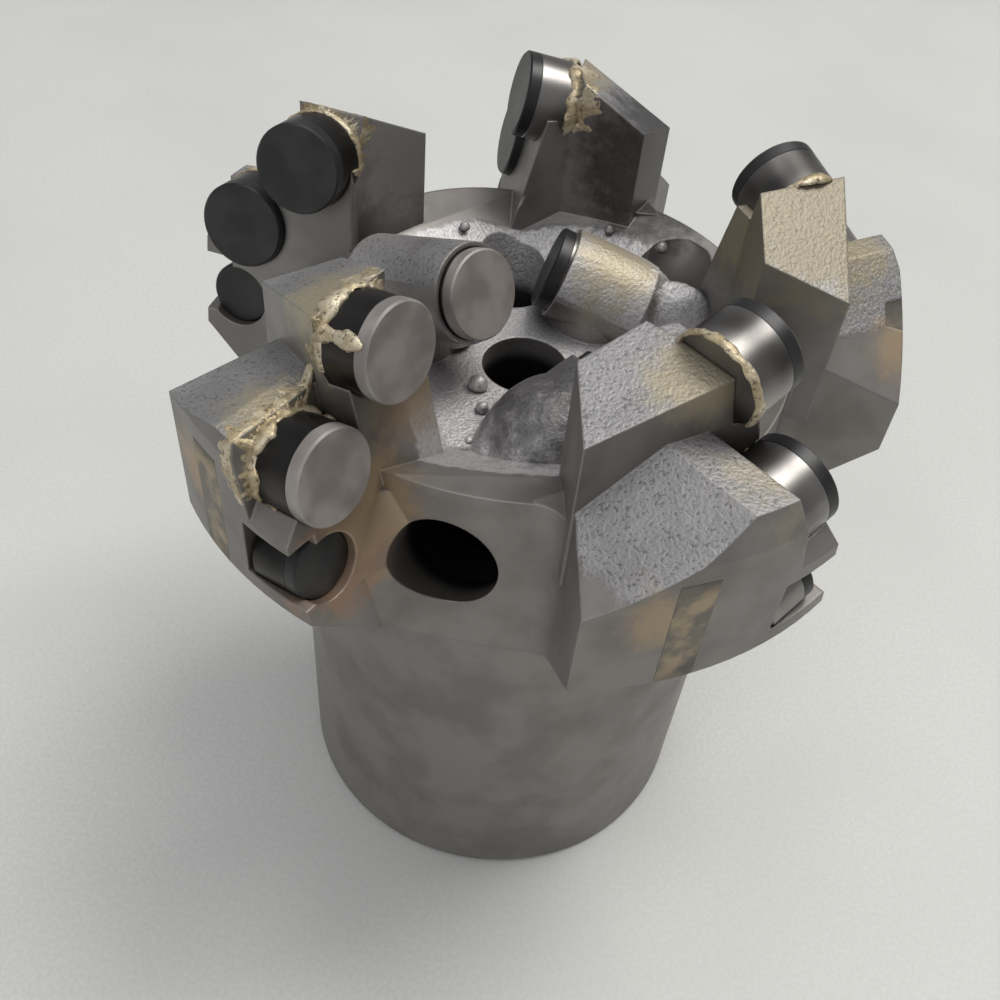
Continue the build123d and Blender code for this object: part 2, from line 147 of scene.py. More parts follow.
class Shader:
    """A material under construction."""

    def __init__(self, name: str) -> None:
        """Start an empty material with one surface shader.

        Args:
            name: The material's name.
        """
        self.material = bpy.data.materials.new(name)
        self.material.use_nodes = True
        self.tree = self.material.node_tree
        self.surface = self.tree.nodes["Principled BSDF"]

    def node(self, kind: str, settings: Dict, inputs: Dict) -> bpy.types.Node:
        """Add any node.

        Args:
            kind: The node's type.
            settings: Properties to set first; a ramp's stops go under "stops".
            inputs: Values or links by socket name or number.

        Returns:
            The new node.
        """
        made = self.tree.nodes.new(kind)
        for name, setting in settings.items():
            if name != "stops":
                setattr(made, name, setting)
                continue
            elements = made.color_ramp.elements
            while len(elements) < len(setting):
                elements.new(0.5)
            for element, (place, colour) in zip(elements, setting):
                element.position = place
                element.color = (*colour, 1.0)
        for name, value in inputs.items():
            self.feed(made.inputs[name], value)
        return made

    def feed(self, socket: bpy.types.NodeSocket, value: object) -> None:
        """Link or set one socket.

        Args:
            socket: The input.
            value: A number, colour, vector, socket or Value.
        """
        if isinstance(value, Value):
            self.tree.links.new(value.socket, socket)
        elif isinstance(value, bpy.types.NodeSocket):
            self.tree.links.new(value, socket)
        elif socket.type == "RGBA":
            socket.default_value = (*value, 1.0)
        else:
            socket.default_value = value

    def place(self) -> bpy.types.NodeSocket:
        """Position on the bit in millimetres.

        Returns:
            A vector socket.
        """
        coords = self.node("ShaderNodeTexCoord", {}, {})
        scaled = self.node(
            "ShaderNodeVectorMath", {"operation": "SCALE"}, {0: coords.outputs["Object"], "Scale": 1 / MM}
        )
        return scaled.outputs[0]

    def noise(
        self, where: bpy.types.NodeSocket, grain: float, detail: float = 3.0, rough: float = 0.55
    ) -> Value:
        """Noise with a grain size.

        Args:
            where: Position in millimetres.
            grain: Size of its largest lumps in millimetres.
            detail: Number of finer layers.
            rough: Strength of the finer layers.

        Returns:
            The noise between 0 and 1.
        """
        made = self.node(
            "ShaderNodeTexNoise",
            {},
            {"Vector": where, "Scale": 1 / grain, "Detail": detail, "Roughness": rough},
        )
        return Value(self, made.outputs[0])

    def parts(self, vector: bpy.types.NodeSocket) -> Tuple[Value, Value, Value]:
        """Split a vector.

        Args:
            vector: The vector socket.

        Returns:
            Its three numbers.
        """
        made = self.node("ShaderNodeSeparateXYZ", {}, {0: vector})
        return tuple(Value(self, output) for output in made.outputs)

    def distance(self, where: bpy.types.NodeSocket, point: Sequence[float]) -> Value:
        """Distance to a fixed point.

        Args:
            where: Position in millimetres.
            point: The fixed point in millimetres.

        Returns:
            The distance in millimetres.
        """
        made = self.node("ShaderNodeVectorMath", {"operation": "DISTANCE"}, {0: where, 1: tuple(point)})
        return Value(self, made.outputs["Value"])

    def blend(self, share: Number, first: object, second: object) -> bpy.types.NodeSocket:
        """Mix two colours.

        Args:
            share: 0 for the first colour, 1 for the second.
            first: Colour or colour socket.
            second: Colour or colour socket.

        Returns:
            The mixed colour.
        """
        made = self.node(
            "ShaderNodeMix", {"data_type": "RGBA"}, {"Factor": share, 6: first, 7: second}
        )
        return made.outputs[2]

    def bump(
        self, height: Value, strength: float, depth: float, under: Optional[bpy.types.NodeSocket] = None
    ) -> bpy.types.NodeSocket:
        """Turn a height into a surface normal.

        Args:
            height: Height between 0 and 1.
            strength: Share of the effect.
            depth: Height of 1 in millimetres.
            under: Normal that it is laid on.

        Returns:
            The normal socket.
        """
        inputs = {"Strength": strength, "Distance": depth * MM, "Height": height}
        if under is not None:
            inputs["Normal"] = under
        return self.node("ShaderNodeBump", {}, inputs).outputs[0]

    def finish(self, **inputs: object) -> bpy.types.Material:
        """Set the surface shader's sockets.

        Args:
            inputs: Socket names with underscores for spaces.

        Returns:
            The finished material.
        """
        for name, value in inputs.items():
            self.feed(self.surface.inputs[name.replace("_", " ")], value)
        return self.material


@dataclass
class CutterSeat:
    """Place and size of one cutter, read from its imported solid."""

    node: str
    blade: str
    row: Row
    face: Vector
    axis: Vector
    out: Vector
    up: Vector
    radius: float
    length: float

    @classmethod
    def read(cls, node: str) -> "CutterSeat":
        """Read a cutter's place from its solid.

        Args:
            node: The cutter's node name.

        Returns:
            Its seat.
        """
        _, blade, row = node.split("_")
        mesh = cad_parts[node].data
        low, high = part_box(node)
        centre = (low + high) / 2
        caps: Dict[Tuple[float, ...], float] = {}
        for polygon in mesh.polygons:
            key = tuple(round(part, 2) for part in polygon.normal)
            caps[key] = caps.get(key, 0.0) + polygon.area
        axis = Vector(max(caps, key=lambda key: (key[2] > 0) * caps[key])).normalized()
        reach = [(vertex.co - centre).dot(axis) for vertex in mesh.vertices]
        length = max(reach) - min(reach)
        radius = max(((v.co - centre) - axis * (v.co - centre).dot(axis)).length for v in mesh.vertices)
        out = Vector((axis.y, -axis.x, 0)).normalized()
        up = out.cross(axis)
        if up.z < 0:
            up.negate()
        return cls(
            node=node,
            blade=blade,
            row=Row(row),
            face=centre + axis * (length / 2),
            axis=axis,
            out=out,
            up=up,
            radius=radius,
            length=length,
        )

    def point(self, angle: float, radius: float, depth: float) -> Vector:
        """A point near the cutter.

        Args:
            angle: Turn from the top towards the gauge, in degrees.
            radius: Distance from the cutter's axis.
            depth: Distance behind its face.

        Returns:
            The point.
        """
        turn = math.radians(angle)
        side = self.up * math.cos(turn) + self.out * math.sin(turn)
        return self.face + side * radius - self.axis * depth


def link(name: str, mesh: bpy.types.Mesh) -> bpy.types.Object:
    """Put a mesh in the scene as a piece that rides on the bit.

    Args:
        name: The piece's name.
        mesh: Its mesh.

    Returns:
        The new object.
    """
    piece = bpy.data.objects.new(name, mesh)
    bpy.context.scene.collection.objects.link(piece)
    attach(piece, "root")
    return piece


def lathe(rings: Sequence[Tuple[float, float]], seat: CutterSeat, count: int = 72) -> bmesh.types.BMesh:
    """Turn a closed outline about a cutter's axis.

    Args:
        rings: Outline as (radius, depth) pairs, from the face's centre to the back's centre.
        seat: The cutter's seat.
        count: Points round each ring.

    Returns:
        The turned mesh.
    """
    work = bmesh.new()
    loops: List[List[bmesh.types.BMVert]] = []
    for radius, depth in rings:
        if radius <= 0:
            loops.append([work.verts.new(seat.point(0, 0, depth))])
            continue
        loops.append([work.verts.new(seat.point(360 * k / count, radius, depth)) for k in range(count)])
    for first, second in zip(loops, loops[1:]):
        for k in range(count):
            m = (k + 1) % count
            above = [first[k % len(first)], first[m % len(first)]]
            below = [second[m % len(second)], second[k % len(second)]]
            unique = list(dict.fromkeys(above + below))
            if len(unique) > 2:
                work.faces.new(unique)
    bmesh.ops.recalc_face_normals(work, faces=work.faces)
    return work


def to_mesh(work: bmesh.types.BMesh, name: str, smooth_below: float = 40.0) -> bpy.types.Mesh:
    """Write a working mesh out with smooth shading and sharp edges kept.

    Args:
        work: The working mesh, which is freed.
        name: Name of the new mesh.
        smooth_below: Edges over this angle in degrees stay sharp.

    Returns:
        The new mesh.
    """
    limit = math.radians(smooth_below)
    for face in work.faces:
        face.smooth = True
    for edge in work.edges:
        edge.smooth = len(edge.link_faces) != 2 or edge.calc_face_angle(0.0) < limit
    mesh = bpy.data.meshes.new(name)
    work.to_mesh(mesh)
    work.free()
    return mesh


@dataclass(frozen=True)
class DiamondTable:
    """Satin diamond layer with a faint cloudy haze; the same class also makes a much lighter painted-light
    copy.
    """

    name: str = "diamond_table"
    colour: Colour = (0.018, 0.018, 0.019)
    haze: Colour = (0.034, 0.033, 0.033)
    roughness: float = 0.32
    metallic: float = 0.5

    def material(self) -> bpy.types.Material:
        """Make the material.

        Returns:
            The material.
        """
        shader = Shader(self.name)
        where = shader.place()
        cloud = shader.noise(where, 5.5, 2.0, 0.5)
        grain = shader.noise(where, 0.16, 2.0)
        colour = shader.blend(cloud.ramp(0.34, 0.70), self.colour, self.haze)
        return shader.finish(
            Base_Color=colour,
            Metallic=self.metallic,
            Roughness=self.roughness + cloud * 0.18,
            Specular_IOR_Level=0.7,
            Normal=shader.bump(grain, 0.18, 0.02),
        )


@dataclass(frozen=True)
class GroundCarbide:
    """Ground stud, bright where it is bare and dark where it was heated."""

    name: str = "ground_carbide"
    colour: Colour = (0.30, 0.285, 0.27)
    dark: Colour = (0.075, 0.071, 0.068)
    roughness: float = 0.26

    def material(self) -> bpy.types.Material:
        """Make the material.

        Returns:
            The material.
        """
        shader = Shader(self.name)
        where = shader.place()
        cloud = shader.noise(where, 9.0, 1.0)
        scratch = shader.noise(where, 0.25, 2.0)
        colour = shader.blend(cloud.ramp(0.30, 0.74), self.colour, self.dark)
        return shader.finish(
            Base_Color=colour,
            Metallic=0.9,
            Roughness=self.roughness + scratch * 0.16,
            Normal=shader.bump(scratch, 0.25, 0.02),
        )


@dataclass(frozen=True)
class BrazeMetal:
    """Pale gold braze with a crusted skin."""

    colour: Colour = (0.42, 0.34, 0.21)
    pale: Colour = (0.60, 0.53, 0.39)
    dark: Colour = (0.10, 0.075, 0.05)

    def material(self) -> bpy.types.Material:
        """Make the material.

        Returns:
            The material.
        """
        shader = Shader("braze_metal")
        where = shader.place()
        patch = shader.noise(where, 3.4, 3.0)
        grain = shader.noise(where, 0.6, 3.0, 0.6)
        colour = shader.blend(patch.ramp(0.42, 0.62), self.colour, self.pale)
        colour = shader.blend(grain.ramp(0.46, 0.34) * 0.8, colour, self.dark)
        return shader.finish(
            Base_Color=colour,
            Metallic=0.55,
            Roughness=0.38 + grain * 0.2,
            Normal=shader.bump(grain, 0.7, 0.22),
        )


@dataclass(frozen=True)
class StainOrPaintedLight:
    """A patch of colour on the body: heat tint, soot, braze flush, painted shade and painted light."""

    centre: Vector
    inner: float
    outer: float
    colour: Colour
    strength: float = 1.0


@dataclass(frozen=True)
class BodySteel:
    """Machined steel with blasted lands, braze tints, worn edges, and painted shade and painted light."""

    machined: Colour = (0.245, 0.230, 0.217)
    machined_dark: Colour = (0.185, 0.172, 0.160)
    blasted: Colour = (0.335, 0.325, 0.325)
    blasted_dark: Colour = (0.185, 0.180, 0.178)
    # Near-black of the grain pits, also used for the painted shade in recesses.
    pit_and_shade: Colour = (0.050, 0.048, 0.047)
    # Silver of the dished face: partly its blasted steel, partly painted glint and painted light.
    silver_and_glint: Colour = (0.62, 0.60, 0.60)
    # Painted shade for the deep bore.
    hole_shade_black: Colour = (0.006, 0.006, 0.006)
    edge: Colour = (0.40, 0.38, 0.35)
    head_bottom: float = 72.0
    land_bottom: float = 107.2
    dish_radius: float = 31.0
    dish_top: float = 112.0
    hole_radius: float = 33.0
    hole_top: float = 93.0

    def material(self, stains_and_light: Sequence[StainOrPaintedLight]) -> bpy.types.Material:
        """Make the material.

        Args:
            stains_and_light: Tints, painted shade and painted light that lie on the body, in order.

        Returns:
            The material.
        """
        shader = Shader("body_steel")
        where = shader.place()
        x, y, z = shader.parts(where)
        radius = (x * x + y * y) ** 0.5
        geometry = shader.node("ShaderNodeNewGeometry", {}, {})
        facing = shader.parts(geometry.outputs["True Normal"])[2]
        head = z.ramp(self.head_bottom, self.head_bottom + 1.5)
        uneven = shader.noise(where, 2.4, 3.0)
        land = facing.ramp(0.42, 0.56) * (z + uneven * 2.0).ramp(self.land_bottom, self.land_bottom + 1.4)
        dish = (radius + uneven * 2.4).ramp(self.dish_radius + 2.2, self.dish_radius + 1.0)
        dish = dish * z.ramp(self.dish_top, self.dish_top - 6) * facing.ramp(-0.1, 0.15)
        rough = land.most(dish * head)

        cloud = shader.noise(where, 13.0, 4.0)
        grain = shader.noise(where, 0.50, 2.0, 0.5)
        coarse = shader.noise(where, 1.1, 2.0, 0.5)
        fine = shader.noise(where, 0.2, 2.0)
        smooth_tone = shader.blend(cloud.ramp(0.38, 0.66), self.machined, self.machined_dark)
        rough_tone = shader.blend(cloud.ramp(0.62, 0.36) * 0.45, self.blasted, self.blasted_dark)
        rough_tone = shader.blend(grain.ramp(0.46, 0.30) * 0.55, rough_tone, self.pit_and_shade)
        # Partly painted light: the dished face is lifted towards silver in grain speckles, both its lighter
        # blasted steel and a painted glint that brightens it against its shade.
        glint_speckle = 0.45 + grain.ramp(0.36, 0.60) * 0.3
        rough_tone = shader.blend(dish * head * glint_speckle, rough_tone, self.silver_and_glint)
        tone = shader.blend(rough, smooth_tone, rough_tone)

        ragged = shader.noise(where, 3.0, 4.0, 0.6)
        # Real tints, and the painted shade and painted light on the blade walls, are laid on in turn.
        for stain_or_light in stains_and_light:
            reach = shader.distance(where, stain_or_light.centre / MM) + (ragged - 0.5) * stain_or_light.outer * 0.9
            share = reach.ramp(stain_or_light.outer, stain_or_light.inner) * stain_or_light.strength
            tone = shader.blend(share * (0.7 + grain * 0.5), tone, stain_or_light.colour)

        # Painted shade: ambient occlusion darkens recesses and the gaps between parts towards the near-black
        # pit colour.
        hidden = shader.node("ShaderNodeAmbientOcclusion", {"samples": 6}, {"Distance": 7.0 * MM})
        recess_shade = Value(shader, hidden.outputs["AO"]).ramp(0.62, 0.18)
        tone = shader.blend(recess_shade * 0.55, tone, self.pit_and_shade)

        bevel = shader.node("ShaderNodeBevel", {"samples": 6}, {"Radius": 0.5 * MM})
        turned = shader.node(
            "ShaderNodeVectorMath",
            {"operation": "DOT_PRODUCT"},
            {0: bevel.outputs[0], 1: geometry.outputs["True Normal"]},
        )
        # Painted shade: the bore below the dished face, inside hole_radius and under hole_top, is painted
        # nearly black.
        hole_shade = radius.ramp(self.hole_radius + 4.2, self.hole_radius)
        hole_shade = hole_shade * z.ramp(self.hole_top, self.hole_top - 3)
        tone = shader.blend(hole_shade * 0.93, tone, self.hole_shade_black)

        worn = (1 - Value(shader, turned.outputs["Value"])).ramp(0.02, 0.25) * (0.2 + cloud * 0.5)
        tone = shader.blend(worn, tone, self.edge)

        relief = shader.bump(coarse * rough, 0.4, 0.22, bevel.outputs[0])
        relief = shader.bump(grain * rough, 0.8, 0.17, relief)
        relief = shader.bump(fine, 0.15, 0.02, relief)
        return shader.finish(
            Base_Color=tone,
            Metallic=0.62,
            Roughness=0.42 + rough * 0.06 + cloud * 0.10,
            Normal=relief,
        )


@dataclass(frozen=True)
class StripCarbide:
    """Ground gauge strip, dark at its ends and tan beside the braze."""

    colour: Colour = (0.16, 0.145, 0.12)
    tint: Colour = (0.36, 0.29, 0.19)
    dark: Colour = (0.035, 0.034, 0.032)
    top: float = 109.0
    dark_below: float = 94.0

    def material(self) -> bpy.types.Material:
        """Make the material.

        Returns:
            The material.
        """
        shader = Shader("gauge_carbide")
        where = shader.place()
        z = shader.parts(where)[2]
        patch = shader.noise(where, 5.0, 3.0)
        grain = shader.noise(where, 0.4, 3.0)
        colour = shader.blend(patch.ramp(0.40, 0.62), self.colour, self.tint)
        colour = shader.blend((z + patch * 6).ramp(self.top, self.top + 4.5), colour, self.dark)
        foot = (z + patch * 8).ramp(self.dark_below + 5.0, self.dark_below)
        colour = shader.blend(foot * 0.5, colour, self.dark)
        return shader.finish(
            Base_Color=colour,
            Metallic=0.5,
            Roughness=0.38 + grain * 0.2,
            Normal=shader.bump(grain, 0.4, 0.06),
        )


@dataclass
class Cutter:
    """A carbide stud with a diamond table, both finely chamfered."""

    seat: CutterSeat
    table: float = 2.0 * MM
    chamfer: float = 0.28 * MM
    seam: float = 0.07 * MM

    def build(self, diamond: bpy.types.Material, carbide: bpy.types.Material) -> bpy.types.Object:
        """Build and dress the cutter.

        Args:
            diamond: Material of the table.
            carbide: Material of the stud.

        Returns:
            The new piece.
        """
        r = self.seat.radius
        rings = [
            (0.0, 0.0),
            (r * 0.6, 0.0),
            (r - self.chamfer, 0.0),
            (r, self.chamfer),
            (r, self.table - self.seam),
            (r - self.seam, self.table),
            (r, self.table + self.seam),
            (r, self.seat.length - self.chamfer),
            (r - self.chamfer, self.seat.length),
            (0.0, self.seat.length),
        ]
        work = lathe(rings, self.seat)
        for face in work.faces:
            depth = (self.seat.face - face.calc_center_median()).dot(self.seat.axis)
            face.material_index = int(depth > self.table)
        mesh = to_mesh(work, self.seat.node + "_dressed", 30.0)
        mesh.materials.append(diamond)
        mesh.materials.append(carbide)
        piece = link(self.seat.node + "_dressed", mesh)
        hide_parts(self.seat.node)
        return piece


class BodySurface:
    """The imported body, asked which points lie in its steel."""

    def __init__(self, name: str) -> None:
        """Read the body's mesh.

        Args:
            name: The body's node name.
        """
        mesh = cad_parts[name].data
        corners = [vertex.co / MM for vertex in mesh.vertices]
        self.tree = BVHTree.FromPolygons(corners, [tuple(face.vertices) for face in mesh.polygons])

    def holds(self, point: Vector) -> bool:
        """Whether a point lies inside the steel.

        Args:
            point: The point in metres.

        Returns:
            True inside.
        """
        spot, normal, _, _ = self.tree.find_nearest(point / MM)
        return (point / MM - spot).dot(normal) < 0

    def gap(self, start: Vector, direction: Vector, reach: float) -> Optional[float]:
        """Distance from a point to the steel along a line.

        Args:
            start: The point in metres.
            direction: Unit direction of the line.
            reach: Longest distance looked at, in metres.

        Returns:
            The distance in metres, or None where the line meets no steel.
        """
        spot, _, _, length = self.tree.ray_cast(start / MM, direction, reach / MM)
        return None if spot is None else length * MM


@dataclass
class BrazeSeam:
    """Uneven fillet of braze along the line where a cutter leaves its pocket."""

    seat: CutterSeat
    surface: BodySurface
    thick: float = 0.55 * MM
    wide: float = 1.25 * MM
    probe: float = 0.55 * MM
    spacing: float = 0.35 * MM
    jump: float = 14.0
    least_turn: float = 8.0
    window: int = 4
    sides: int = 10
    lump: float = 0.55
    lump_size: float = 1.3 * MM
    grain: float = 0.2
    grain_size: float = 0.5 * MM

    def edge_angle(self, depth: float, side: int) -> Optional[float]:
        """Turn at which the barrel enters the steel on one side.

        Args:
            depth: Distance behind the cutter's face.
            side: 1 towards the gauge, -1 towards the axis.

        Returns:
            The angle from the top in degrees, or None where it stays in the open.
        """
        for step in range(0, 150, 2):
            angle = side * step
            if self.surface.holds(self.seat.point(angle, self.seat.radius + self.probe, depth)):
                return float(angle)
        return None

    def side_run(self, side: int, depths: Sequence[float]) -> List[Tuple[float, float]]:
        """Follow one side from the back to where the line breaks off, evened out.

        Args:
            side: 1 towards the gauge, -1 towards the axis.
            depths: Distances behind the face, from front to back.

        Returns:
            (angle, depth) pairs from front to back.
        """
        run: List[Tuple[float, float]] = []
        for depth in reversed(depths):
            angle = self.edge_angle(depth, side)
            if angle is None or side * angle < self.least_turn:
                break
            if run and abs(angle - run[-1][0]) > self.jump:
                break
            run.append((angle, depth))
        run.reverse()
        even = []
        for index, (_, depth) in enumerate(run):
            near = [angle for angle, _ in run[max(0, index - self.window): index + self.window + 1]]
            even.append((sum(near) / len(near), depth))
        return even

    def path(self) -> List[Tuple[float, float]]:
        """Follow the seam as (angle, depth) pairs: one side, round the back, other side.

        Returns:
            The pairs.
        """
        last = self.seat.length - 0.2 * MM
        count = int(last / self.spacing)
        depths = [last * step / count for step in range(2, count + 1)]
        inner = self.side_run(-1, depths)
        outer = self.side_run(1, depths)
        if not inner or not outer:
            return []
        first, final = inner[-1][0], outer[-1][0]
        turns = max(6, int(math.radians(final - first) * self.seat.radius / self.spacing))
        back = [(first + (final - first) * step / turns, self.seat.length) for step in range(1, turns)]
        return inner + back + outer[::-1]

    def build(self, material: bpy.types.Material) -> Optional[bpy.types.Object]:
        """Build and dress the seam.

        Args:
            material: Its braze.

        Returns:
            The new piece, or None where the cutter shows no seam.
        """
        path = self.path()
        if len(path) < 8:
            return None
        points = [self.seat.point(angle, self.seat.radius, depth) for angle, depth in path]
        work = bmesh.new()
        rings = []
        for index, (angle, depth) in enumerate(path):
            ahead = points[min(index + 2, len(path) - 1)]
            behind = points[max(index - 2, 0)]
            along = (ahead - behind).normalized()
            away = (points[index] - self.seat.point(0, 0, depth)).normalized()
            across = along.cross(away).normalized()
            ends = min(index, len(path) - 1 - index) / len(path)
            swell = min(1.0, 0.25 + 6 * ends) * (0.85 + 0.9 * noise.noise(points[index] / (2.6 * MM)))
            ring = []
            for k in range(self.sides):
                turn = 2 * math.pi * k / self.sides
                spot = points[index] + away * (math.sin(turn) * self.thick * swell)
                spot += across * (math.cos(turn) * self.wide * swell * 0.5)
                lump = noise.noise_vector(spot / self.lump_size) * self.lump
                lump += noise.noise_vector(spot / self.grain_size) * self.grain
                spot += lump * self.thick
                ring.append(work.verts.new(spot))
            rings.append(ring)
        for first, second in zip(rings, rings[1:]):
            for k in range(self.sides):
                m = (k + 1) % self.sides
                work.faces.new((first[k], first[m], second[m], second[k]))
        work.faces.new(rings[0])
        work.faces.new(rings[-1])
        bmesh.ops.recalc_face_normals(work, faces=work.faces)
        name = self.seat.node.replace("cutter", "braze")
        mesh = to_mesh(work, name, 80.0)
        mesh.materials.append(material)
        return link(name, mesh)


@dataclass
class BrazeApron:
    """Braze that has run from the back of a cutter on to the land behind it."""

    seat: CutterSeat
    surface: BodySurface
    reach: float = 2.2 * MM
    lap: float = 0.9 * MM
    skin: float = 0.16 * MM
    fall: float = 1.3 * MM
    above: float = 6.0 * MM
    below: float = 5.0 * MM
    body: float = 0.9 * MM
    sink: float = 0.3 * MM
    rough: float = 0.14 * MM
    mean_reach: float = 0.75
    waves: Tuple[Tuple[float, float], ...] = ((0.8, 1.9 * MM), (0.3, 0.7 * MM))
    low_share: float = 0.4
    columns: int = 14
    turn: float = 100.0
    step: float = 2.0
    fewest: int = 6

    def land(self, angle: float, depth: float) -> Optional[float]:
        """Distance of the steel's skin from the cutter's axis.

        Args:
            angle: Turn from the top towards the gauge, in degrees.
            depth: Distance behind the cutter's face.

        Returns:
            The distance, or None where there is no steel near the barrel's height.
        """
        start = self.seat.point(angle, self.seat.radius + self.above, depth)
        away = (start - self.seat.point(angle, 0.0, depth)).normalized()
        gap = self.surface.gap(start, -away, self.above + self.below)
        return None if gap is None else self.seat.radius + self.above - gap

    def column(self, angle: float) -> Optional[List[Vector]]:
        """Points of the skin from the barrel back over the land at one angle.

        Args:
            angle: Turn from the top towards the gauge, in degrees.

        Returns:
            The points, or None where the barrel has no land behind it.
        """
        radius, length = self.seat.radius, self.seat.length
        if self.land(angle, length + self.lap) is None:
            return None
        anchor = self.seat.point(angle, radius, length)
        uneven = sum(size * noise.noise(anchor / grain) for size, grain in self.waves)
        width = self.reach * (self.mean_reach + uneven)
        spots = []
        for index in range(self.columns):
            share = index / (self.columns - 1)
            offset = -self.lap + (width + self.lap) * share
            shape = radius + self.skin - max(0.0, offset) ** 2 / self.fall * 0.8
            level = shape
            if offset > 0:
                floor = self.land(angle, length + offset)
                lowest = radius * self.low_share if floor is None else floor + self.skin * (1 - share)
                level = max(shape, lowest)
            if 0 < index < self.columns - 1:
                level += noise.noise(self.seat.point(angle, level, length + offset) / (0.9 * MM)) * self.rough
            else:
                level -= self.sink
            spots.append(self.seat.point(angle, level, length + offset))
        return spots

    def under(self, spot: Vector) -> Vector:
        """A point of the apron's hidden side.

        Args:
            spot: The point of the skin above it.

        Returns:
            The point nearer to the cutter's axis.
        """
        depth = (self.seat.face - spot).dot(self.seat.axis)
        middle = self.seat.face - self.seat.axis * depth
        return spot + (middle - spot).normalized() * self.body

    def build(self, material: bpy.types.Material) -> Optional[bpy.types.Object]:
        """Build and dress the apron.

        Args:
            material: Its braze.

        Returns:
            The new piece, or None where no land lies behind the cutter.
        """
        count = int(2 * self.turn / self.step)
        found = [self.column(k * self.step - self.turn) for k in range(count + 1)]
        middle = [k for k, spots in enumerate(found) if spots and abs(k - count / 2) < count / 3]
        if not middle:
            return None
        low = high = min(middle, key=lambda k: abs(k - count / 2))
        while low > 0 and found[low - 1]:
            low -= 1
        while high < count and found[high + 1]:
            high += 1
        if high - low < self.fewest:
            return None
        work = bmesh.new()
        tops, bottoms = [], []
        for spots in found[low: high + 1]:
            tops.append([work.verts.new(spot) for spot in spots])
            bottoms.append([work.verts.new(self.under(spot)) for spot in spots])
        for sheet in (tops, bottoms):
            for first, second in zip(sheet, sheet[1:]):
                for m in range(self.columns - 1):
                    work.faces.new((first[m], first[m + 1], second[m + 1], second[m]))
        for m in range(self.columns - 1):
            for end in (0, -1):
                work.faces.new((tops[end][m], tops[end][m + 1], bottoms[end][m + 1], bottoms[end][m]))
        for first, second, third, fourth in zip(tops, tops[1:], bottoms, bottoms[1:]):
            for end in (0, -1):
                work.faces.new((first[end], second[end], fourth[end], third[end]))
        bmesh.ops.recalc_face_normals(work, faces=work.faces)
        name = self.seat.node.replace("cutter", "apron")
        mesh = to_mesh(work, name, 80.0)
        mesh.materials.append(material)
        return link(name, mesh)


@dataclass
class SpatterBeads:
    """Small beads of braze thrown on the dished face."""

    proud: float = 0.35
    floor: float = 95.0
    floor_radius: float = 18.5
    rim: Tuple[float, float] = (32.0, 103.4)
    beads: Tuple[Tuple[float, float, float], ...] = (
        (-146.0, 10.2, 1.55),
        (-124.0, 13.2, 1.05),
        (-100.0, 9.0, 0.85),
        (-84.0, 10.0, 0.95),
        (-97.0, 15.4, 1.25),
        (-109.0, 19.6, 0.9),
        (-113.0, 22.0, 0.6),
        (118.0, 30.0, 0.9),
        (70.0, 31.0, 0.9),
        (52.0, 31.5, 1.1),
        (48.0, 28.0, 0.8),
    )

    def height(self, radius: float) -> float:
        """Height of the dished face at a radius, in millimetres.

        Args:
            radius: Distance from the axis.

        Returns:
            The height.
        """
        if radius <= self.floor_radius:
            return self.floor
        share = (radius - self.floor_radius) / (self.rim[0] - self.floor_radius)
        return self.floor + share * (self.rim[1] - self.floor)

    def build(self, material: bpy.types.Material) -> bpy.types.Object:
        """Build and dress the beads.

        Args:
            material: Their steel.

        Returns:
            The new piece.
        """
        work = bmesh.new()
        for angle, radius, size in self.beads:
            turn = math.radians(angle)
            height = self.height(radius) + self.proud * size
            spot = Vector((radius * math.cos(turn), radius * math.sin(turn), height))
            made = bmesh.ops.create_icosphere(work, subdivisions=3, radius=size * MM)
            for vertex in made["verts"]:
                vertex.co.z *= 1.15 if vertex.co.z > 0 else 0.8
                vertex.co += spot * MM
                vertex.co += noise.noise_vector(vertex.co / (0.8 * MM)) * 0.12 * size * MM
        mesh = to_mesh(work, "spatter_beads", 80.0)
        mesh.materials.append(material)
        return link("spatter_beads", mesh)


@dataclass(frozen=True)
class Mound:
    """Place and size of one lump of weld build-up, in millimetres and degrees."""

    x: float
    y: float
    along: float
    across: float
    turn: float
    foot: float
    top: float


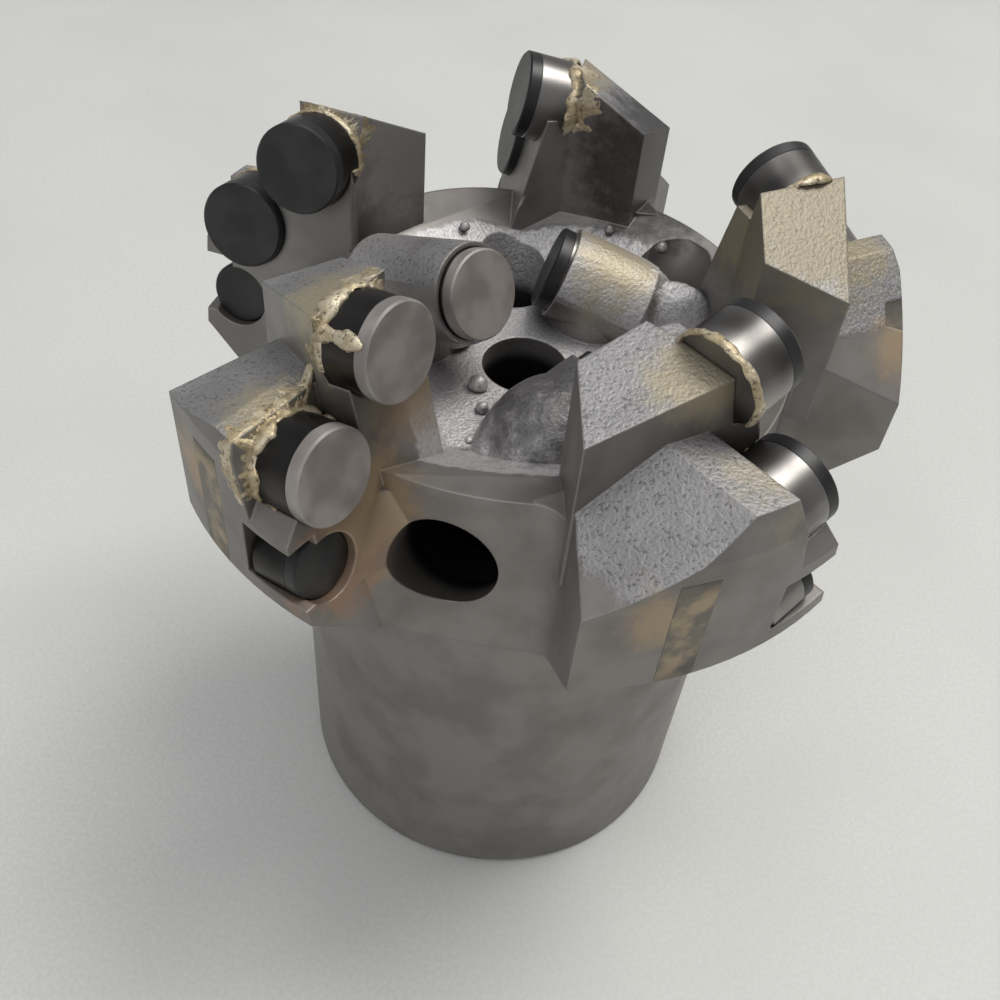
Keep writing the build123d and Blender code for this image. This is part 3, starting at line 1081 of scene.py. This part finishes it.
@dataclass
class WeldBuildUp:
    """Rough rounded weld metal laid round the posts on the dished face."""

    mounds: Tuple[Mound, ...] = (
        Mound(3.4, -16.2, 12.6, 10.6, 35.0, 93.0, 105.4),
        Mound(-3.4, -19.6, 6.4, 5.0, 50.0, 93.0, 99.2),
        Mound(-19.6, 10.2, 8.6, 4.2, -38.0, 97.0, 109.5),
        Mound(-17.0, 6.2, 7.0, 4.4, -20.0, 96.0, 105.0),
        Mound(15.5, 14.8, 8.5, 4.6, 0.0, 95.0, 106.0),
        Mound(22.0, 13.2, 7.0, 4.0, -10.0, 98.0, 104.6),
    )
    rings: int = 26
    count: int = 96
    lump: float = 0.55
    lump_size: float = 3.2
    grain: float = 0.16
    grain_size: float = 0.9
    shoulder: float = 2.6
    roundness: float = 0.75

    def build(self, material: bpy.types.Material) -> bpy.types.Object:
        """Build and dress the weld metal.

        Args:
            material: Its steel.

        Returns:
            The new piece.
        """
        work = bmesh.new()
        for mound in self.mounds:
            self.raise_mound(work, mound)
        bmesh.ops.recalc_face_normals(work, faces=work.faces)
        mesh = to_mesh(work, "weld_build_up", 80.0)
        mesh.materials.append(material)
        return link("weld_build_up", mesh)

    def raise_mound(self, work: bmesh.types.BMesh, mound: Mound) -> None:
        """Add one closed lump.

        Args:
            work: The mesh that it joins.
            mound: Its place and size.
        """
        turn = math.radians(mound.turn)
        loops = [[work.verts.new(self.spot(mound, turn, 0.0, 0.0))]]
        for ring in range(1, self.rings + 1):
            share = ring / self.rings
            angles = [2 * math.pi * k / self.count for k in range(self.count)]
            loops.append([work.verts.new(self.spot(mound, turn, share, angle)) for angle in angles])
        for first, second in zip(loops, loops[1:]):
            for k in range(self.count):
                m = (k + 1) % self.count
                corners = (first[k % len(first)], second[k], second[m], first[m % len(first)])
                work.faces.new(list(dict.fromkeys(corners)))
        work.faces.new(loops[-1])

    def spot(self, mound: Mound, turn: float, share: float, angle: float) -> Vector:
        """A point on a lump's skin.

        Args:
            mound: The lump.
            turn: Its turn in radians.
            share: 0 at its top and 1 at its foot.
            angle: Direction from its middle in radians.

        Returns:
            The point in metres.
        """
        along, across = mound.along * math.cos(angle) * share, mound.across * math.sin(angle) * share
        x = mound.x + along * math.cos(turn) - across * math.sin(turn)
        y = mound.y + along * math.sin(turn) + across * math.cos(turn)
        swell = (1 - share ** self.shoulder) ** self.roundness
        height = mound.foot + (mound.top - mound.foot) * swell
        spot = Vector((x, y, height))
        rough = noise.noise(spot / self.lump_size) * self.lump
        rough += noise.noise(spot / self.grain_size) * self.grain
        return Vector((x, y, height + rough * (1 - share ** 4))) * MM


@dataclass
class BoxThread:
    """Turns of thread inside the shank."""

    pitch: float = 5.08 * MM
    crest: float = 25.0 * MM
    root: float = 26.2 * MM
    start: float = 11.0 * MM
    end: float = 46.0 * MM
    count: int = 96

    def build(self, material: bpy.types.Material) -> bpy.types.Object:
        """Build and dress the thread.

        Args:
            material: Its steel.

        Returns:
            The new piece.
        """
        work = bmesh.new()
        turns = (self.end - self.start) / self.pitch
        steps = int(turns * self.count)
        rings = []
        for step in range(steps + 1):
            angle = 2 * math.pi * step / self.count
            z = self.start + self.pitch * step / self.count
            fade = min(1.0, 6 * min(step, steps - step) / self.count)
            crest = self.root + (self.crest - self.root) * fade
            outline = ((self.root, -0.42), (crest, -0.12), (crest, 0.12), (self.root, 0.42))
            ring = []
            for radius, share in outline:
                corner = (radius * math.cos(angle), radius * math.sin(angle), z + share * self.pitch)
                ring.append(work.verts.new(corner))
            rings.append(ring)
        for first, second in zip(rings, rings[1:]):
            for k in range(4):
                m = (k + 1) % 4
                work.faces.new((first[k], first[m], second[m], second[k]))
        work.faces.new(rings[0])
        work.faces.new(rings[-1])
        bmesh.ops.recalc_face_normals(work, faces=work.faces)
        mesh = to_mesh(work, "box_thread_turns", 25.0)
        mesh.materials.append(material)
        return link("box_thread_turns", mesh)


@dataclass(frozen=True)
class Lamp:
    """A square lamp: its place and side in metres, and its power in watts."""

    name: str
    place: Tuple[float, float, float]
    size: float
    power: float
    colour: Colour


@dataclass
class Studio:
    """Pale floor, soft lights and the camera."""

    lamps: Tuple[Lamp, ...] = (
        Lamp("key", (0.62, 0.38, 1.55), 0.8, 17.0, (1.0, 0.985, 0.95)),
        Lamp("top", (-0.15, 0.05, 1.6), 1.3, 7.0, (0.97, 0.98, 1.0)),
        Lamp("front", (-0.55, -1.0, 0.75), 0.8, 4.2, (0.97, 0.98, 1.0)),
    )
    aim_height: float = 0.1
    sky_colour: Colour = (0.95, 0.97, 1.0)
    sky_strength: float = 0.28
    floor_colour: Colour = (0.60, 0.60, 0.575)
    floor_half: float = 1.6
    camera_place: Vector = field(default_factory=lambda: Vector((-3.2, -136.6, 209.8)) * MM)
    camera_drop: float = 46.87
    camera_roll: float = 6.06
    lens: float = 40.1

    def floor(self) -> None:
        """Lay the floor with its fine speckle."""
        shader = Shader("floor_paper")
        where = shader.place()
        grain = shader.noise(where, 0.8, 2.0)
        cloud = shader.noise(where, 90.0, 2.0)
        lighter = tuple(part * 1.09 for part in self.floor_colour)
        darker = tuple(part * 0.94 for part in self.floor_colour)
        colour = shader.blend(grain.ramp(0.35, 0.7), self.floor_colour, lighter)
        colour = shader.blend(cloud.ramp(0.4, 0.7) * 0.5, colour, darker)
        material = shader.finish(
            Base_Color=colour, Roughness=0.6, Normal=shader.bump(grain, 0.3, 0.12)
        )
        work = bmesh.new()
        bmesh.ops.create_grid(work, x_segments=2, y_segments=2, size=self.floor_half)
        mesh = bpy.data.meshes.new("floor")
        work.to_mesh(mesh)
        work.free()
        mesh.materials.append(material)
        floor = bpy.data.objects.new("floor", mesh)
        bpy.context.scene.collection.objects.link(floor)

    def hang(self, lamp: Lamp) -> None:
        """Hang one soft lamp that looks at the bit.

        Args:
            lamp: The lamp.
        """
        data = bpy.data.lights.new(lamp.name, "AREA")
        data.shape = "SQUARE"
        data.size = lamp.size
        data.energy = lamp.power
        data.color = lamp.colour
        hung = bpy.data.objects.new(lamp.name, data)
        hung.location = lamp.place
        aim = Vector((0, 0, self.aim_height)) - Vector(lamp.place)
        hung.rotation_euler = aim.to_track_quat("-Z", "Y").to_euler()
        bpy.context.scene.collection.objects.link(hung)

    def lights(self) -> None:
        """Set the lamps and the dim even sky."""
        for lamp in self.lamps:
            self.hang(lamp)
        world = bpy.data.worlds.new("studio")
        world.use_nodes = True
        backdrop = world.node_tree.nodes["Background"]
        backdrop.inputs["Color"].default_value = (*self.sky_colour, 1.0)
        backdrop.inputs["Strength"].default_value = self.sky_strength
        bpy.context.scene.world = world

    def camera(self) -> None:
        """Place the camera."""
        drop, roll = math.radians(self.camera_drop), math.radians(self.camera_roll)
        back = Vector((0, -math.cos(drop), math.sin(drop)))
        right = Vector((1, 0, 0))
        up = Vector((0, math.sin(drop), math.cos(drop)))
        across = right * math.cos(roll) + up * math.sin(roll)
        above = up * math.cos(roll) - right * math.sin(roll)
        data = bpy.data.cameras.new("camera")
        data.lens = self.lens
        data.sensor_width = 36.0
        data.clip_start = 0.01
        camera = bpy.data.objects.new("camera", data)
        turn = Matrix((across, above, back)).transposed()
        camera.matrix_world = Matrix.Translation(self.camera_place) @ turn.to_4x4()
        bpy.context.scene.collection.objects.link(camera)
        bpy.context.scene.camera = camera


@dataclass
class DragBit:
    """The whole bit: its cutters, braze, strips and body."""

    gold: Colour = (0.40, 0.345, 0.24)
    dull: Colour = (0.28, 0.245, 0.175)
    tan: Colour = (0.40, 0.30, 0.19)
    # Painted light on the inner wall of blade d.
    painted_light_grey: Colour = (0.42, 0.40, 0.375)
    copper: Colour = (0.36, 0.215, 0.13)
    # Near-black for soot behind inner cutters and for the painted shade on blade c's inner wall.
    soot_and_shade: Colour = (0.03, 0.028, 0.027)
    crusted: Tuple[str, ...] = ("c_nose", "e_nose", "e_shoulder")
    scorched: Tuple[str, ...] = ("d", "e")
    flowed: Tuple[str, ...] = ("c_nose", "d_nose", "e_nose", "e_shoulder")
    # Cutters whose tables get the much lighter painted-light copy of the diamond table.
    painted_lit_tables: Tuple[str, ...] = ("e_nose", "e_shoulder", "d_inner")
    # Centres of the painted shade on blade c's inner wall and of the painted light on blade d's, in
    # millimetres.
    shaded_wall_spot: Tuple[float, float, float] = (17.0, 34.0, 114.0)
    lit_wall_spot: Tuple[float, float, float] = (-25.0, 25.0, 118.0)
    plain_seam: Tuple[float, float] = (0.38 * MM, 1.7 * MM)
    crusted_seam: Tuple[float, float] = (0.7 * MM, 3.0 * MM)
    plain_reach: float = 2.4 * MM
    crusted_reach: float = 4.2 * MM
    seats: List[CutterSeat] = field(default_factory=list)

    def read(self) -> None:
        """Read every cutter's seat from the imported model."""
        self.seats = [CutterSeat.read(name) for name in sorted(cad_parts) if name.startswith("cutter_")]

    def stains_and_light(self) -> List[StainOrPaintedLight]:
        """Lay out the tints near the cutters and strips, and the painted shade and painted light on two blade
        walls.

        Returns:
            The stains.
        """
        spread = {
            "a_nose": (5.0, 10.0, self.gold, 0.85),
            "a_shoulder": (3.0, 9.0, self.gold, 0.8),
            "a_inner": (6.0, 15.0, self.soot_and_shade, 0.85),
            "b_nose": (13.0, 21.0, self.dull, 0.9),
            "b_shoulder": (3.0, 9.0, self.gold, 0.7),
            "b_inner": (4.0, 11.0, self.gold, 0.95),
            "c_nose": (3.0, 7.0, self.gold, 0.8),
            "c_shoulder": (2.0, 6.0, self.gold, 0.6),
            "d_nose": (2.5, 7.0, self.gold, 0.85),
            "d_shoulder": (2.0, 6.5, self.gold, 0.8),
            "d_inner": (1.0, 5.0, self.soot_and_shade, 0.6),
            "e_nose": (4.0, 10.5, self.gold, 0.9),
            "e_shoulder": (3.5, 9.0, self.gold, 0.95),
        }
        found = []
        for seat in self.seats:
            key = f"{seat.blade}_{seat.row.value}"
            if key not in spread:
                continue
            inner, outer, colour, strength = spread[key]
            behind = seat.point(0, seat.radius * 0.6, seat.length + 1.5 * MM)
            found.append(StainOrPaintedLight(behind, inner, outer, colour, strength))
        return found + self.wall_shade_and_light() + self.leading_stains() + self.strip_stains()

    def wall_shade_and_light(self) -> List[StainOrPaintedLight]:
        """Painted shade on the inner wall of blade c, painted light on that of blade d.

        Returns:
            The stains.
        """
        return [
            StainOrPaintedLight(Vector(self.shaded_wall_spot) * MM, 9.0, 17.0, self.soot_and_shade, 0.8),
            StainOrPaintedLight(Vector(self.lit_wall_spot) * MM, 7.0, 15.0, self.painted_light_grey, 0.7),
        ]

    def leading_stains(self) -> List[StainOrPaintedLight]:
        """Copper on the wall in front of blade e, gold under its seats.

        Returns:
            The stains.
        """
        found = []
        for seat in self.seats:
            if seat.blade != "e":
                continue
            if seat.row is Row.GAUGE:
                found.append(StainOrPaintedLight(seat.point(-90, 4.0 * MM, 1.0 * MM), 6.0, 12.0, self.copper, 0.75))
            else:
                found.append(StainOrPaintedLight(seat.point(-150, 10.0 * MM, 3.0 * MM), 5.0, 11.0, self.tan, 0.75))
        return found

    def strip_stains(self) -> List[StainOrPaintedLight]:
        """Tan beside each gauge strip.

        Returns:
            The stains.
        """
        found = []
        for name in sorted(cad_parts):
            if name.startswith("gauge_strip"):
                low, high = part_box(name)
                centre = (low + high) / 2
                back = Vector((centre.y, -centre.x, 0)).normalized()
                spot = centre + back * 3.5 * MM + Vector((0, 0, 5 * MM))
                found.append(StainOrPaintedLight(spot, 2.5, 7.5, self.tan, 0.85))
        return found

    def build(self) -> None:
        """Build every piece and dress every node."""
        self.read()
        diamond = DiamondTable().material()
        # Painted light: a much lighter copy of the diamond table for the tables that show bright under the
        # lamps.
        lit_table = DiamondTable("painted_lit_table", (0.23, 0.205, 0.19), (0.34, 0.31, 0.29), 0.42, 0.3).material()
        carbide = GroundCarbide().material()
        scorched = GroundCarbide("scorched_carbide", (0.055, 0.052, 0.050), (0.022, 0.021, 0.021)).material()
        braze = BrazeMetal().material()
        steel = BodySteel().material(self.stains_and_light())
        surface = BodySurface("bit_body")
        strip = StripCarbide().material()
        for seat in self.seats:
            key = f"{seat.blade}_{seat.row.value}"
            stud = scorched if seat.blade in self.scorched else carbide
            Cutter(seat).build(lit_table if key in self.painted_lit_tables else diamond, stud)
            LOG.info("cutter %s", seat.node)
            crusted = key in self.crusted
            thick, wide = self.crusted_seam if crusted else self.plain_seam
            BrazeSeam(seat, surface, thick=thick, wide=wide).build(braze)
            if key in self.flowed:
                reach = self.crusted_reach if crusted else self.plain_reach
                BrazeApron(seat, surface, reach=reach).build(braze)
        SpatterBeads().build(steel)
        WeldBuildUp().build(steel)
        BoxThread().build(steel)
        for name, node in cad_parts.items():
            if name == "bit_body":
                self.dress(node, steel)
            elif name.startswith("gauge_strip"):
                self.dress(node, strip)

    def dress(self, node: bpy.types.Object, material: bpy.types.Material) -> None:
        """Give a carried-over node its material.

        Args:
            node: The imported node's object.
            material: Its material.
        """
        for slot in node.material_slots:
            slot.material = material
        LOG.info("dressed %s", node.name)


def main() -> None:
    """Build the scene."""
    logging.basicConfig(level=logging.INFO)
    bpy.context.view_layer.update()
    studio = Studio()
    studio.floor()
    studio.lights()
    studio.camera()
    DragBit().build()
    bpy.context.scene.view_settings.view_transform = "Standard"


if __name__ == "__main__":
    main()
